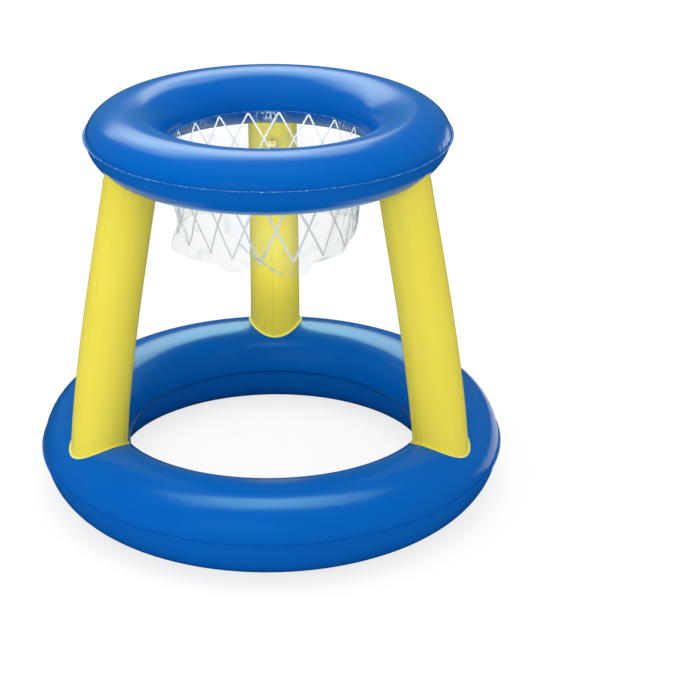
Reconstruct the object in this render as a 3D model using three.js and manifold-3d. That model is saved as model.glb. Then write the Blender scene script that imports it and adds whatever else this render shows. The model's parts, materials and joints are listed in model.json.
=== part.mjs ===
// Inflatable floating basketball hoop: a base ring, three leaning legs, a hoop ring and a
// hanging film skirt, each air chamber with its own valve. Millimetres, +Z up. The origin is
// on the floor under the middle of the base ring, and the back leg stands towards +Y.
import * as THREE from 'three';
import { mergeVertices } from 'three/addons/utils/BufferGeometryUtils.js';
import Module from 'manifold-3d';

const wasm = await Module();
wasm.setup();

// Rings. A share places the crest between hole and outer edge, or a weld in the ring's depth.
// Sectors are a multiple of 12, so that a ring is the same under each of the legs.
const baseRing = {
  outerDiameter: 610,
  holeDiameter: 378,
  undersideHeight: 0,
  depth: 115,
  crestShare: 0.5,
  outerWeldShare: 0.51,
  innerWeldShare: 0.49,
  contactWidth: 16,
  weldMargin: 3,
  skinThickness: 0.3,
  fullness: 1.9,
  sectors: 48,
};
const hoopRing = {
  outerDiameter: 460,
  holeDiameter: 245,
  undersideHeight: 436,
  depth: 74.5,
  crestShare: 0.54,
  outerWeldShare: 0.56,
  innerWeldShare: 0.39,
  contactWidth: 8,
  weldMargin: 3,
  skinThickness: 0.3,
  fullness: 1.9,
  sectors: 36,
};
const ARC_STEPS = 4;

// Legs. Offsets run outward from each ring's crest circle, leans are from upright.
const leg = {
  footDiameter: 71,
  headDiameter: 65,
  footOffset: 6,
  headOffset: 3,
  footLeanDegrees: 3.5,
  headLeanDegrees: 11.5,
  handleShare: 0.33,
  skinThickness: 0.3,
  weldMargin: 3.5,
  lapWidth: 5,
  lapThickness: 0.3,
  valveShare: 0.86,
};
const LEG_AZIMUTH_DEGREES = { leg_left: -150, leg_right: -30, leg_back: 90 };
// How far a leg's valve is turned about the leg, from the side that faces the hoop's axis.
// The front legs have theirs turned towards the back.
const LEG_VALVE_TURN_DEGREES = { leg_left: 18, leg_right: -18, leg_back: 0 };
const LEG_SIDES = 20;
const LEG_SPANS = 5;

// Skirt of clear film. Each fold is a turn and a spread in degrees, then its shares of
// foldDepth, outward, and of foldLift, by which it raises the loose edge.
const skirt = {
  hangDepth: 137,
  taper: 5,
  skinThickness: 0.3,
  foldDepth: 12,
  foldLift: 20,
  hemShare: 0.5,
};
const SKIRT_FOLD_SHARES = [
  [-174, 26, 0.45, -0.1],
  [-128, 14, -0.35, 0.1],
  [-108, 9, 0.35, -0.1],
  [-92, 6, -0.9, 0.75],
  [-73, 11, 0.45, -0.15],
  [-38, 20, -0.75, 0.85],
  [0, 16, 0.2, 0.5],
  [34, 13, -0.6, 0.3],
  [62, 12, 0.4, 0],
  [90, 10, -0.5, 0.2],
  [118, 13, 0.5, 0],
  [146, 12, -0.5, 0.25],
];
const SKIRT_COLUMNS = 60;
const SKIRT_ROW_SHARES = [0, 0.25, 0.5, 0.75, 1];

// Valves, shown pushed in. The stem pulls out of the skin and the stopper swings on its strap.
// The collar keeps its clearance below the skin's outer face when the stem is pulled out.
const valve = {
  flangeDiameter: 26,
  flangeThickness: 0.5,
  stemDiameter: 10,
  boreDiameter: 5.6,
  collarClearance: 2.1,
  travel: 8,
  collarDiameter: 13,
  collarThickness: 1.2,
  lugReach: 2.8,
  lugDepth: 3.2,
  lugWidth: 3,
  knuckleDiameter: 1.8,
  capDiameter: 11,
  capThickness: 1.3,
  pullTabLength: 3,
  plugLength: 3.4,
  flapOverlap: 1,
  flapThickness: 0.6,
  turnDegrees: 27,
};
const VALVE_AZIMUTH_DEGREES = { base_ring: 60, hoop_ring: 120 };
const ROUND_SIDES = 12;

// Clearances: welded skins lie this far apart, moving pieces run with this much play.
const WELD_GAP = 0.3;
const PLAY = 0.3;
const OVERRUN = 30;

const BLUE_VINYL = { color: 0x0a57b8, roughness: 0.28, metalness: 0 };
const YELLOW_VINYL = { color: 0xe8dc52, roughness: 0.38, metalness: 0 };
const CLEAR_FILM = { color: 0xeef3f8, roughness: 0.12, metalness: 0 };
const CLEAR_VALVE = { color: 0xdfe7ea, roughness: 0.3, metalness: 0 };

const radians = THREE.MathUtils.degToRad;
const lerp = THREE.MathUtils.lerp;

// Turns the faces outward when the enclosed volume comes out negative.
function facingOut(geometry) {
  const place = geometry.attributes.position;
  const index = geometry.index.array;
  const [a, b, c] = [0, 1, 2].map(() => new THREE.Vector3());
  let volume = 0;
  for (let i = 0; i < index.length; i += 3) {
    a.fromBufferAttribute(place, index[i]);
    b.fromBufferAttribute(place, index[i + 1]);
    c.fromBufferAttribute(place, index[i + 2]);
    volume += a.dot(b.cross(c));
  }
  if (volume < 0) {
    for (let i = 0; i < index.length; i += 3) {
      [index[i], index[i + 1]] = [index[i + 1], index[i]];
    }
  }
  return geometry;
}

function bareMesh(positions, index) {
  const geometry = new THREE.BufferGeometry();
  geometry.setAttribute('position', new THREE.Float32BufferAttribute(positions, 3));
  geometry.setIndex(index);
  return facingOut(geometry);
}

function toSolid(geometry) {
  const bare = geometry.clone();
  bare.deleteAttribute('normal');
  bare.deleteAttribute('uv');
  const merged = facingOut(mergeVertices(bare));
  const vertProperties = Float32Array.from(merged.attributes.position.array);
  const triVerts = Uint32Array.from(merged.index.array);
  return new wasm.Manifold(new wasm.Mesh({ numProp: 3, vertProperties, triVerts }));
}

function toGeometry(solid) {
  const mesh = solid.getMesh();
  const geometry = bareMesh(Array.from(mesh.vertProperties), Array.from(mesh.triVerts));
  geometry.computeVertexNormals();
  return geometry;
}

// A closed outline of (radius, height) points turned about +Z.
function turned(outline, sides) {
  const closed = [...outline, outline[0].clone()];
  return facingOut(new THREE.LatheGeometry(closed, sides).rotateX(Math.PI / 2));
}

// A round bar along +Z between two heights.
function roundBar(radius, low, high, sides) {
  const bar = new THREE.CylinderGeometry(radius, radius, high - low, sides);
  return bar.rotateX(Math.PI / 2).translate(0, 0, (low + high) / 2);
}

// Joins a loop of equal closed sections. The second half of each section is the wall's other
// side, where the quads are split the other way, so that both sides of the wall stay parallel.
function closedLoop(sections) {
  const size = sections[0].length;
  const positions = sections.flat().flatMap((point) => point.toArray());
  const index = [];
  sections.forEach((section, i) => {
    const next = (i + 1) % sections.length;
    section.forEach((point, j) => {
      const along = (j + 1) % size;
      const [a, b] = [i * size + j, next * size + j];
      const [c, d] = [next * size + along, i * size + along];
      const quad = j < size / 2 ? [a, b, c, a, c, d] : [a, b, d, b, c, d];
      index.push(...quad);
    });
  });
  return bareMesh(positions, index);
}

// Joins rows of equal open rings and closes both ends with a fan.
function cappedRows(rows) {
  const size = rows[0].length;
  const centres = [rows[0], rows[rows.length - 1]].map((row) =>
    row.reduce((sum, point) => sum.add(point), new THREE.Vector3()).divideScalar(size));
  const positions = [...rows.flat(), ...centres].flatMap((point) => point.toArray());
  const lowCentre = rows.length * size;
  const last = (rows.length - 1) * size;
  const index = [];
  for (let j = 0; j < size; j += 1) {
    const along = (j + 1) % size;
    for (let i = 0; i < rows.length - 1; i += 1) {
      const [a, b] = [i * size + j, i * size + along];
      index.push(a, b, b + size, a, b + size, a + size);
    }
    index.push(along, j, lowCentre, last + j, last + along, lowCentre + 1);
  }
  return bareMesh(positions, index);
}

function named(name, geometry, finish) {
  const mesh = new THREE.Mesh(geometry, new THREE.MeshStandardMaterial(finish));
  mesh.name = name;
  return mesh;
}

// Where a ring's four quarter arcs start and end.
function ringPlaces(ring) {
  const outer = ring.outerDiameter / 2;
  const hole = ring.holeDiameter / 2;
  return {
    outer,
    hole,
    crest: lerp(hole, outer, ring.crestShare),
    top: ring.undersideHeight + ring.depth,
    bottom: ring.undersideHeight,
    outerWeld: ring.undersideHeight + ring.depth * ring.outerWeldShare,
    innerWeld: ring.undersideHeight + ring.depth * ring.innerWeldShare,
  };
}

// A quarter of a superellipse from a weld up or down to the crest.
function quarterArc(weld, crest, fullness) {
  return Array.from({ length: ARC_STEPS + 1 }, (unused, step) => {
    const angle = (step / ARC_STEPS) * (Math.PI / 2);
    const across = Math.cos(angle) ** (2 / fullness);
    const rise = Math.sin(angle) ** (2 / fullness);
    return new THREE.Vector2(lerp(crest.x, weld.x, across), lerp(weld.y, crest.y, rise));
  });
}

// One face of a ring's upper (side 1) or lower (side -1) skin, from outer to inner weld.
// The face lies this far outside the skin's inner face.
function ringFace(ring, side, outward) {
  const at = ringPlaces(ring);
  const shrink = ring.skinThickness - outward;
  const inset = ring.weldMargin + shrink;
  const crestHeight = (side > 0 ? at.top : at.bottom) - side * shrink;
  const halfFlat = side > 0 ? 0 : ring.contactWidth / 2;
  const weldRise = side * outward;
  const outerArc = quarterArc(
    new THREE.Vector2(at.outer - inset, at.outerWeld + weldRise),
    new THREE.Vector2(at.crest + halfFlat, crestHeight),
    ring.fullness,
  );
  const innerArc = quarterArc(
    new THREE.Vector2(at.hole + inset, at.innerWeld + weldRise),
    new THREE.Vector2(at.crest - halfFlat, crestHeight),
    ring.fullness,
  );
  const acrossCrest = halfFlat > 0 ? innerArc.reverse() : innerArc.reverse().slice(1);
  return [...outerArc, ...acrossCrest];
}

// A skin is a half shell with a flat weld margin along both of its edges.
function ringSkin(ring, side) {
  const at = ringPlaces(ring);
  const rise = side * ring.skinThickness;
  return turned([
    new THREE.Vector2(at.outer, at.outerWeld + rise),
    ...ringFace(ring, side, ring.skinThickness),
    new THREE.Vector2(at.hole, at.innerWeld + rise),
    new THREE.Vector2(at.hole, at.innerWeld),
    ...ringFace(ring, side, 0).reverse(),
    new THREE.Vector2(at.outer, at.outerWeld),
  ], ring.sectors);
}

// The whole inflated ring as one body, grown outward for cutting what lies on it.
function grownRing(ring, growth) {
  const outward = ring.skinThickness + growth;
  return toSolid(turned([
    ...ringFace(ring, 1, outward),
    ...ringFace(ring, -1, outward).reverse(),
  ], ring.sectors));
}

// The leg's centre line in its own upright plane, from one ring's welds to the other's.
function legLine() {
  const base = ringPlaces(baseRing);
  const hoop = ringPlaces(hoopRing);
  const footHeight = (base.outerWeld + base.innerWeld) / 2;
  const headHeight = (hoop.outerWeld + hoop.innerWeld) / 2;
  const foot = new THREE.Vector3(base.crest + leg.footOffset, 0, footHeight);
  const head = new THREE.Vector3(hoop.crest + leg.headOffset, 0, headHeight);
  const handle = foot.distanceTo(head) * leg.handleShare;
  const leaning = (degrees) =>
    new THREE.Vector3(-Math.sin(radians(degrees)), 0, Math.cos(radians(degrees)));
  const footHandle = leaning(leg.footLeanDegrees).multiplyScalar(handle).add(foot);
  const headHandle = leaning(leg.headLeanDegrees).multiplyScalar(-handle).add(head);
  return new THREE.CubicBezierCurve3(foot, footHandle, headHandle, head);
}

function legRadius(share) {
  return lerp(leg.footDiameter, leg.headDiameter, share) / 2;
}

// The leg as a solid bar from one ring's welds to the other's, grown outward.
function legBar(growth) {
  const line = legLine();
  const tangential = new THREE.Vector3(0, 1, 0);
  const rows = Array.from({ length: LEG_SPANS + 1 }, (unused, i) => {
    const share = i / LEG_SPANS;
    const outward = new THREE.Vector3().crossVectors(tangential, line.getTangent(share));
    const radius = legRadius(share) + growth;
    return Array.from({ length: LEG_SIDES }, (alsoUnused, j) => {
      const angle = (j / LEG_SIDES) * 2 * Math.PI;
      return line.getPoint(share)
        .addScaledVector(outward, radius * Math.cos(angle))
        .addScaledVector(tangential, radius * Math.sin(angle));
    });
  });
  return toSolid(cappedRows(rows));
}

// The slab that holds the lap seam, along the side that faces the hoop's axis.
function lapSlab() {
  const base = ringPlaces(baseRing);
  const hoop = ringPlaces(hoopRing);
  const slab = new THREE.BoxGeometry(base.crest, leg.lapWidth, hoop.top);
  const middle = legLine().getPoint(0.5);
  slab.translate(middle.x - base.crest / 2, 0, middle.z);
  return toSolid(slab);
}

// A tube with its seam lapped and both ends turned out as margins welded to the rings.
function legTube(base, hoop) {
  const inside = legBar(-leg.skinThickness);
  const lap = legBar(leg.lapThickness).intersect(lapSlab());
  const tube = legBar(0).add(lap).subtract(inside);
  const margin = legBar(leg.weldMargin).subtract(inside);
  const footMargin = margin.intersect(base.margin).subtract(base.seat);
  const headMargin = margin.intersect(hoop.margin).subtract(hoop.seat);
  return tube.subtract(base.seat).subtract(hoop.seat).add(footMargin).add(headMargin);
}

// Where a valve stands on a leg, cap strap uppermost. Without a turn it faces the hoop's axis.
function legValveFrame(turnDegrees) {
  const line = legLine();
  const up = line.getTangent(leg.valveShare);
  const down = up.clone().negate();
  const sideways = new THREE.Vector3(0, -1, 0).applyAxisAngle(up, radians(turnDegrees));
  const out = new THREE.Vector3().crossVectors(down, sideways);
  const place = line.getPoint(leg.valveShare).addScaledVector(out, legRadius(leg.valveShare));
  return new THREE.Matrix4().makeBasis(down, sideways, out).setPosition(place);
}

// Where a valve stands on a ring: outside and above the outer weld, cap strap uppermost.
function ringValveFrame(ring, azimuth) {
  const at = ringPlaces(ring);
  const across = at.outer - ring.weldMargin - at.crest;
  const rise = at.top - at.outerWeld - ring.skinThickness;
  const angle = radians(valve.turnDegrees);
  const x = Math.cos(angle) ** (2 / ring.fullness);
  const z = Math.sin(angle) ** (2 / ring.fullness);
  const slope = ring.fullness - 1;
  const out = new THREE.Vector3(x ** slope / across, 0, z ** slope / rise).normalize();
  const down = new THREE.Vector3(out.z, 0, -out.x);
  const sideways = new THREE.Vector3().crossVectors(out, down);
  const place = new THREE.Vector3(at.crest + x * across, 0, at.top - rise + z * rise);
  const upright = new THREE.Matrix4().makeBasis(down, sideways, out).setPosition(place);
  return new THREE.Matrix4().makeRotationZ(radians(azimuth)).multiply(upright);
}

// A bar along a valve's axis, through the skin it stands on.
function valveBar(frame, radius) {
  return toSolid(roundBar(radius, -OVERRUN / 2, OVERRUN / 2, ROUND_SIDES).applyMatrix4(frame));
}

const stemHoleRadius = valve.stemDiameter / 2 + PLAY;

function withStemHole(solid, frame) {
  return toGeometry(solid.subtract(valveBar(frame, stemHoleRadius)));
}

// The thin disc welded onto the skin round the stem, shaped to the skin below it.
function valveFlange(low, high, frame) {
  const disc = valveBar(frame, valve.flangeDiameter / 2).subtract(valveBar(frame, stemHoleRadius));
  return toGeometry(high.subtract(low).intersect(disc).transform(frame.clone().invert().toArray()));
}

const hingeReach = valve.stemDiameter / 2 + valve.lugReach - valve.knuckleDiameter / 2;

// Pushed in, the stem reaches far enough that its collar is still inside when it is pulled out.
const rimHeight = WELD_GAP + valve.flangeThickness + PLAY + valve.lugDepth;
const stemLength = rimHeight + valve.travel + valve.collarClearance + valve.collarThickness;

// The stem's rim is at height zero here, and its strap lug stands towards -X.
function stemGeometry() {
  const radius = valve.stemDiameter / 2;
  const bore = valve.boreDiameter / 2;
  const tip = -stemLength;
  const barrel = toSolid(turned([
    new THREE.Vector2(bore, 0),
    new THREE.Vector2(radius, 0),
    new THREE.Vector2(radius, tip + valve.collarThickness),
    new THREE.Vector2(valve.collarDiameter / 2, tip + valve.collarThickness),
    new THREE.Vector2(valve.collarDiameter / 2, tip),
    new THREE.Vector2(bore, tip),
  ], ROUND_SIDES));
  const lugTop = -valve.knuckleDiameter / 2 - PLAY;
  const wall = radius - bore;
  const lug = new THREE.BoxGeometry(valve.lugReach + wall / 2, valve.lugWidth, valve.lugDepth + lugTop);
  lug.translate(-radius + wall / 4 - valve.lugReach / 2, 0, (lugTop - valve.lugDepth) / 2);
  return toGeometry(barrel.add(toSolid(lug)));
}

// The plug's tip is narrow enough to swing out of the bore about the strap's hinge.
function plugTipRadius() {
  const reach = hingeReach + valve.boreDiameter / 2 - PLAY / 2;
  return Math.sqrt(reach ** 2 - valve.plugLength ** 2) - hingeReach;
}

// Cap, tapered plug, pull tab, strap and hinge knuckle are one moulding.
function stopperGeometry() {
  const low = PLAY;
  const high = PLAY + valve.capThickness;
  const cap = toSolid(turned([
    new THREE.Vector2(0, high),
    new THREE.Vector2(valve.capDiameter / 2, high),
    new THREE.Vector2(valve.capDiameter / 2, low),
    new THREE.Vector2(valve.boreDiameter / 2 - PLAY, low),
    new THREE.Vector2(plugTipRadius(), -valve.plugLength),
    new THREE.Vector2(0, -valve.plugLength),
  ].reverse(), ROUND_SIDES));
  const tab = new THREE.BoxGeometry(valve.pullTabLength * 2, valve.lugWidth, valve.capThickness);
  tab.translate(valve.capDiameter / 2, 0, (low + high) / 2);
  const strap = new THREE.BoxGeometry(hingeReach, valve.lugWidth, valve.capThickness);
  strap.translate(-hingeReach / 2, 0, (low + high) / 2);
  const knuckle = new THREE.CylinderGeometry(
    valve.knuckleDiameter / 2,
    valve.knuckleDiameter / 2,
    valve.lugWidth,
    ROUND_SIDES / 2,
  );
  knuckle.translate(-hingeReach, 0, 0);
  return toGeometry([tab, strap, knuckle].reduce((whole, piece) => whole.add(toSolid(piece)), cap));
}

// The flap that keeps the air in lies under the stem's inner end.
function flapGeometry() {
  const high = -stemLength - PLAY;
  const radius = valve.boreDiameter / 2 + valve.flapOverlap;
  return roundBar(radius, high - valve.flapThickness, high, ROUND_SIDES);
}

const stem = stemGeometry();
const stopper = stopperGeometry();
const flap = flapGeometry();

// The stem is pushed in until its strap lug is just clear of the flange.
function valveGroup(name, frame, flange, flangeTop) {
  const group = new THREE.Group();
  frame.decompose(group.position, group.quaternion, group.scale);
  const moving = new THREE.Group();
  moving.position.z = flangeTop + PLAY + valve.lugDepth;
  moving.add(
    named(`${name}_valve_stem`, stem, CLEAR_VALVE),
    named(`${name}_valve_stopper`, stopper, CLEAR_VALVE),
    named(`${name}_valve_flap`, flap, CLEAR_VALVE),
  );
  group.add(named(`${name}_valve_flange`, flange, CLEAR_VALVE), moving);
  return group;
}

// How far a fold reaches at this turn, from 0 to 1.
function foldReach(turn, azimuth, spread) {
  const apart = THREE.MathUtils.euclideanModulo(turn - azimuth + 180, 360) - 180;
  return Math.exp(-((apart / spread) ** 2));
}

function foldSum(turn, which) {
  const reach = (fold) => fold[which] * foldReach(turn, fold[0], fold[1]);
  return SKIRT_FOLD_SHARES.reduce((sum, fold) => sum + reach(fold), 0);
}

// One upright section of the skirt: its outer face, then its inner face.
function skirtSection(turn) {
  const at = ringPlaces(hoopRing);
  const hemTop = at.innerWeld - hoopRing.skinThickness - WELD_GAP;
  const angle = radians(turn);
  const point = (radius, height) =>
    new THREE.Vector3(radius * Math.cos(angle), radius * Math.sin(angle), height);
  const push = skirt.foldDepth * foldSum(turn, 2);
  const drop = skirt.hangDepth - skirt.foldLift * foldSum(turn, 3);
  const hang = (share) => at.hole + share * (push - skirt.taper);
  const hemReach = at.hole + hoopRing.weldMargin * skirt.hemShare;
  const film = skirt.skinThickness;
  const outsideHeight = (share) => hemTop - film - share * (drop - film);
  const outside = SKIRT_ROW_SHARES.map((share) => point(hang(share), outsideHeight(share)));
  const inside = SKIRT_ROW_SHARES.map((share) => point(hang(share) - film, hemTop - share * drop));
  return [point(hemReach, hemTop - film), ...outside, ...inside.reverse(), point(hemReach, hemTop)];
}

function skirtGeometry() {
  const turns = Array.from({ length: SKIRT_COLUMNS }, (unused, i) => (i / SKIRT_COLUMNS) * 360);
  return closedLoop(turns.map(skirtSection));
}

// What lies on a ring is cut by its seat, and a welded margin is held by its margin body.
function ringCutters(ring, thickness) {
  return { seat: grownRing(ring, WELD_GAP), margin: grownRing(ring, WELD_GAP + thickness) };
}

function ringWithValve(name, ring) {
  const frame = ringValveFrame(ring, VALVE_AZIMUTH_DEGREES[name]);
  const cutters = ringCutters(ring, valve.flangeThickness);
  const flange = valveFlange(cutters.seat, cutters.margin, frame);
  const group = new THREE.Group();
  group.add(
    named(`${name}_upper_skin`, withStemHole(toSolid(ringSkin(ring, 1)), frame), BLUE_VINYL),
    named(`${name}_lower_skin`, ringSkin(ring, -1), BLUE_VINYL),
    valveGroup(name, frame, flange, WELD_GAP + valve.flangeThickness),
  );
  return group;
}

// The valve's flange lies over the lap seam's edge, so it stands off the tube by the lap too.
function legs() {
  const base = ringCutters(baseRing, leg.skinThickness);
  const hoop = ringCutters(hoopRing, leg.skinThickness);
  const bareTube = legTube(base, hoop);
  const flangeLow = leg.lapThickness + WELD_GAP;
  const flangeTop = flangeLow + valve.flangeThickness;
  const [below, above] = [legBar(flangeLow), legBar(flangeTop)];
  return Object.entries(LEG_AZIMUTH_DEGREES).map(([name, azimuth]) => {
    const frame = legValveFrame(LEG_VALVE_TURN_DEGREES[name]);
    const tube = withStemHole(bareTube, frame);
    const flange = valveFlange(below, above, frame);
    const group = new THREE.Group();
    group.rotation.z = radians(azimuth);
    group.add(named(`${name}_tube`, tube, YELLOW_VINYL), valveGroup(name, frame, flange, flangeTop));
    return group;
  });
}

const hoopToy = new THREE.Group();
hoopToy.add(
  ringWithValve('base_ring', baseRing),
  ringWithValve('hoop_ring', hoopRing),
  ...legs(),
  named('net_skirt', skirtGeometry(), CLEAR_FILM),
);

export default hoopToy;
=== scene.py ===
# Looks of an inflatable floating hoop, in metres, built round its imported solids.
import json
import math
from dataclasses import dataclass, replace

import bmesh
import bpy
from mathutils import Matrix, Vector, noise
from mathutils.bvhtree import BVHTree


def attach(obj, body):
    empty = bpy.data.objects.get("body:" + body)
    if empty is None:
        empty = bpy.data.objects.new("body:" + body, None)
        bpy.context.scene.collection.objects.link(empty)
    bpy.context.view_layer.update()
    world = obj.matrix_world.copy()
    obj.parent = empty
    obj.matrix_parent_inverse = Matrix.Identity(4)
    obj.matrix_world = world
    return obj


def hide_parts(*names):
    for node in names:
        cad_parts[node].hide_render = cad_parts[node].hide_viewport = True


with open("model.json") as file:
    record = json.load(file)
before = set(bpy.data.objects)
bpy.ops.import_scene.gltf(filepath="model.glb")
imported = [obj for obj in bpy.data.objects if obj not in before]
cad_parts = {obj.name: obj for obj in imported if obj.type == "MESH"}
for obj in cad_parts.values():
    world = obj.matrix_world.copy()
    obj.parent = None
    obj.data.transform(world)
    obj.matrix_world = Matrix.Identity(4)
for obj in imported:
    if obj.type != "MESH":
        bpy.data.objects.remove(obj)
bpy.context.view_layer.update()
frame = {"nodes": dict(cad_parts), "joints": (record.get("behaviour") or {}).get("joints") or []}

BODY = "inflated_body"
BLUE, YELLOW, FILM, VALVE_SLOT = "blue_vinyl", "yellow_vinyl", "clear_film", "clear_valve"

# Vinyl and welds, as the solids have them.
SKIN = 0.0003
WELD_GAP = 0.0003
PLAY = 0.0003
RING_MARGIN = 0.003
FULLNESS = 1.9
BASE_CONTACT = 0.016
HOOP_CONTACT = 0.008
# How pale the welds' specks are on each ring. The pale specks are partly the welded vinyl's own whitening
# and partly painted highlight where the margins' edges catch light; below zero the weld is painted dark
# instead, a painted shade in the gap between the margins.
BASE_SPECKS = 0.08
BASE_INNER_SPECKS = -0.6
HOOP_SPECKS = 1.0

# Puckers beside the rings' welds, and waves of the weld margins.
PUCKER_DEPTH = 0.0009
PUCKER_REACH = 0.011
PUCKER_START = 0.002
PUCKERS_OUTER = 26
PUCKERS_INNER = 15
PUCKER_SIDE_SHIFT = 0.4
MARGIN_WAVE = 0.0005
MARGIN_WAVES = 30
MARGIN_SEED = 3.0

# Legs, as the solids have them.
FOOT_RADIUS = 0.0355
HEAD_RADIUS = 0.0325
FOOT_OFFSET = 0.006
HEAD_OFFSET = 0.003
FOOT_LEAN = math.radians(3.5)
HEAD_LEAN = math.radians(11.5)
HANDLE_SHARE = 0.33
LEG_MARGIN = 0.0035
LEG_MARGIN_SHARES = (1.0, 0.75, 0.5, 0.28)
LAP_WIDTH = 0.005
LAP_EDGE = 0.0002
LAP_SOFT_SHARE = 0.8
MEAN_RADIUS = (FOOT_RADIUS + HEAD_RADIUS) / 2
SEAM_TURN = math.pi - LAP_WIDTH / 2 / MEAN_RADIUS
# Colour of the seam's darker line: painted shadow along the lap's sharp edge.
SEAM_SHADOW_COLOUR = (0.60, 0.50, 0.04)
LEG_AZIMUTHS = {"leg_left": -150, "leg_right": -30, "leg_back": 90}

# Creases along the legs, and puckers that fade away from their ends by share of the length.
CREASES_ROUND_LEG = 2.6
LEG_CREASE_DEPTH = 0.0007
LEG_CREASE_DRIFT = 0.7
PUCKERS_ROUND_LEG = 7
LEG_PUCKER_DEPTH = 0.0016
FOOT_PUCKER_REACH = 0.09
HEAD_PUCKER_REACH = 0.07
BULGE_FADE = 0.03
LAP_FADE = 0.01
LEG_SEED_STEP = 7.3

# Where a leg's ends are looked for, as shares of its line from a place inside the ring outward.
FOOT_SEARCH = (0.0, 0.4)
HEAD_SEARCH = (1.0, 0.6)

# The vinyl that each valve sits in.
VALVE_SKINS = {"base_ring": "base_ring_upper_vinyl", "hoop_ring": "hoop_ring_upper_vinyl"}
VALVE_SKINS.update({name: f"{name}_vinyl" for name in LEG_AZIMUTHS})

# Skirt of film. Where its loose edge hangs: by turn in degrees, the push outward in metres, the
# shift round the hoop in degrees, and the height above the floor.
SKIRT_DEPTH = 0.137
FILM_HANG = [
    (-176, 0.006, 1.0, 0.3275),
    (-168, 0.002, 3.0, 0.3285),
    (-157, -0.001, 4.8, 0.3325),
    (-140, -0.006, 6.4, 0.3349),
    (-126, -0.006, 5.2, 0.3367),
    (-119, -0.004, 4.0, 0.3327),
    (-109, -0.001, 2.6, 0.3350),
    (-101, 0.000, 1.4, 0.3420),
    (-92.6, 0.001, 0.8, 0.3455),
    (-88, 0.002, 0.6, 0.3385),
    (-83, 0.003, 0.6, 0.3330),
    (-77, 0.003, 0.6, 0.3305),
    (-72, 0.0025, 0.8, 0.3320),
    (-68, 0.002, 1.0, 0.3350),
    (-65.2, 0.001, 1.1, 0.3430),
    (-60, -0.001, 1.3, 0.3432),
    (-55, -0.004, 1.7, 0.3423),
    (-47, -0.005, 2.0, 0.3418),
    (-38, -0.008, 1.6, 0.3440),
    (-30, -0.010, 1.2, 0.3510),
    (-18, -0.012, 0.5, 0.3530),
    (2, -0.011, 0.0, 0.3540),
    (20, -0.007, 0.0, 0.3460),
    (38, -0.008, 0.0, 0.3400),
    (58, 0.003, 0.0, 0.3300),
    (76, -0.002, 0.0, 0.3320),
    (92, -0.007, 0.0, 0.3350),
    (112, 0.003, 0.0, 0.3280),
    (130, -0.006, 0.0, 0.3340),
    (146, -0.004, 0.0, 0.3430),
    (160, -0.002, 0.0, 0.3440),
    (172, 0.003, 0.0, 0.3370),
]

# Folds of the film: how close they are, how deep, and where in the noise they are read. The
# deepest pleats are at the right, and a share of them goes all round.
BROAD_FOLDS = 3.2
BROAD_DEPTH = 0.0035
BROAD_SEED = (0, 0, 5.0)
PLEATS = 16
PLEAT_DEPTH = 0.0028
PLEAT_SEED = (2.0, 0, 0)
PLEATS_ELSEWHERE = 0.18
GATHER_FOLDS = (60, 90)
GATHER_DEPTH = 0.0035
FOLDS_GROW = 0.05
HANG_INWARD = 0.001
HANG_GROWS = 0.03
HEM_HEIGHT = 0.004
FILM_OUTMOST = 0.004

# The crease that runs slantwise over the front of the film: its two ends, by turn and height.
CREASE = ((-107.0, 0.3695), (-84.0, 0.335))
CREASE_STEP = 0.0016
CREASE_EDGE = 0.001
CREASE_FADE = 0.012
CREASE_RELIEF_ENDS = (-0.15, 0.3, 1.25, 0.2)
CREASE_GLINT_AND_HAZE_ENDS = (-0.1, 0.15, 1.1, 0.1)

# The waist that the film draws in at the left: turn and spread in degrees, depth and push in metres.
WAIST_TURN = 178.0
WAIST_SPREAD = 28.0
WAIST_DEPTH = 0.104
WAIST_REACH = 0.022
WAIST_PUSH = 0.009

# Whiter places of the film. In its gathers and along its crease the white is partly the crumpled
# film and partly painted glints. The pleats at the right lean sideways by the slant for each metre
# down, and the lip is a stretch of the loose edge at the front.
GATHER_GLINT_AND_HAZE = 1.5
GATHER_STREAKS = (45, 110)
EDGE_HAZE = 0.03
EDGE_BREADTH = 0.0012
CREASE_GLINT_AND_HAZE = 0.98
CREASE_BREADTH = 0.0008
PATCH_HAZE = 0.25
PATCHES = 8
PLEAT_HAZE = 0.3
PLEAT_SLANT = 0.45
PLEAT_STREAKS = (210, 9)
PLEAT_MIDDLE = -0.35
PLEATS_START = 0.01
LIP_HAZE = 0.28
LIP_TURN = -57
LIP_SPREAD = 6
LIP_HEIGHT = 0.004
HAZE_UNDER_WELD = 0.075

# Gathers of the film below its weld: turn and spread in degrees, depth and strength.
GATHERS = [
    (91, 7, 0.012, 1.0),
    (176, 12, 0.020, 0.8),
    (-2, 12, 0.022, 0.8),
    (140, 8, 0.010, 0.35),
    (40, 8, 0.010, 0.35),
]

# Printed net: peaks round the hem, the turn of the first, how broad its lines are, and how far
# below the weld each row of crossings is. Its lines are drawn narrower where the film is gathered.
NET_PEAKS = 19
NET_FIRST_PEAK = 85.1
NET_LINE = 0.0028
NET_DROPS = (0.0, 0.035, 0.074, 0.115)
NET_STEPS = 20
NARROWED_RIGHT = 0.8
NARROWED_LEFT = 0.45
NARROWED_BEHIND = 0.2
NET_FROM_WELD = 0.0005
NET_FROM_EDGE = 0.001
INK_LIFT = 0.00015

# The dome's light: on dull surfaces, and in gloss from the front and from behind.
DOME = 0.72
GLOSS_FRONT = 0.0
GLOSS_BACK = 0.24
GLOSS_SPAN = (-0.5, 0.6)
GLOSS_COLOUR = (0.45, 0.95, 0.95)

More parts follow.
